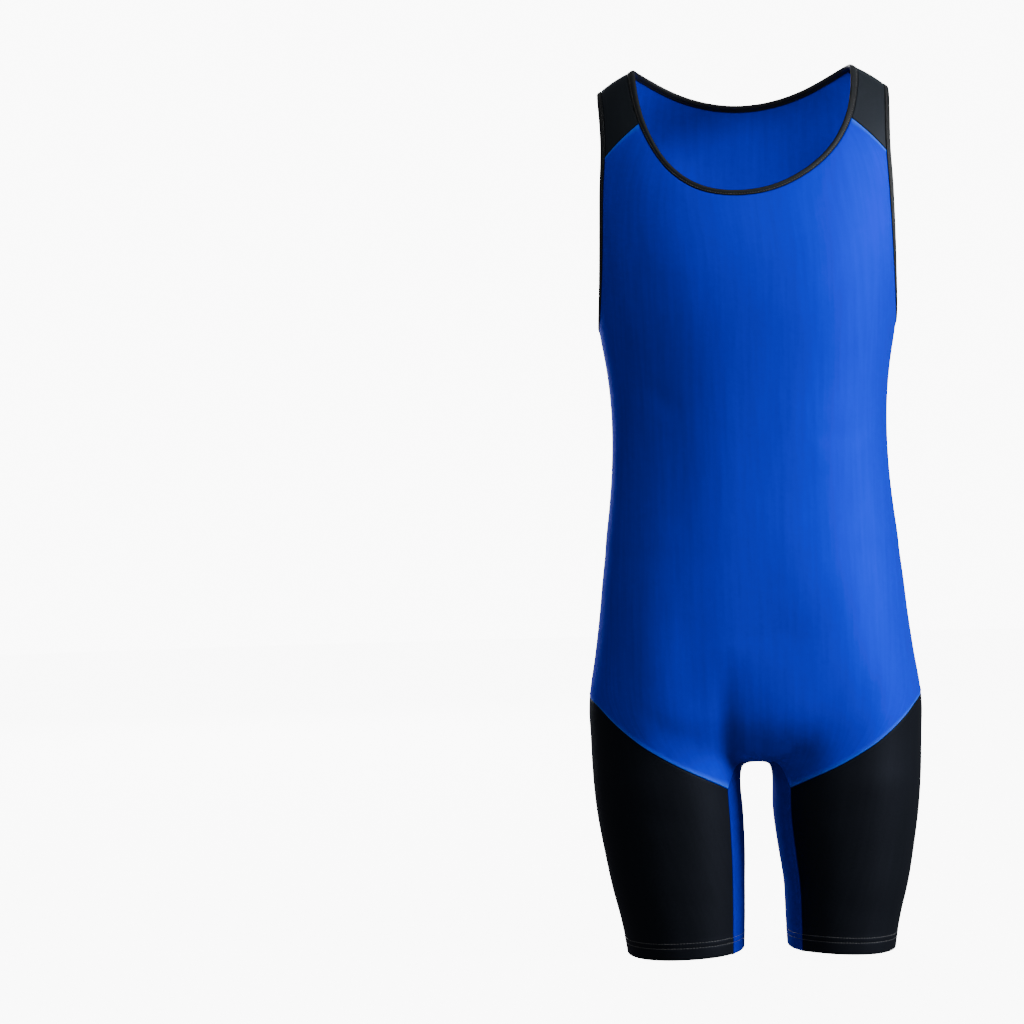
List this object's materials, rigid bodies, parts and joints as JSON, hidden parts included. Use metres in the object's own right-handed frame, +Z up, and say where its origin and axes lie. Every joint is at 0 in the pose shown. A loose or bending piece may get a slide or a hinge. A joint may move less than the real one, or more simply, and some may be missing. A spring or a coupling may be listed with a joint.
{
  "type": "weightlifting singlet",
  "caption": "Sleeveless one-piece lifting suit with scooped neck, bound armholes, dark shoulder yokes and thigh-length legs, hollow as when worn.",
  "frame": {"origin": "midway between the tops of the two shoulder straps, where a wearer or a hanger holds the garment up", "axes": "+Z up the garment towards the shoulders, -Y towards the front, +X towards the wearer's left"},
  "size_m": [0.3422, 0.2371, 0.913],
  "materials": {
    "blue_knit": "smooth stretch knit with a satin sheen",
    "black_knit": "smooth stretch knit with a satin sheen",
    "black_binding": "matt stretch binding"
  },
  "bodies": {
    "root": {"front_body": "blue_knit", "back_body": "blue_knit", "inseam_gusset": "blue_knit", "leg_left": "black_knit", "leg_right": "black_knit", "shoulder_yoke_left": "black_knit", "shoulder_yoke_right": "black_knit", "neck_binding": "black_binding", "armhole_binding_left": "black_binding", "armhole_binding_right": "black_binding"}
  },
  "joints": []
}
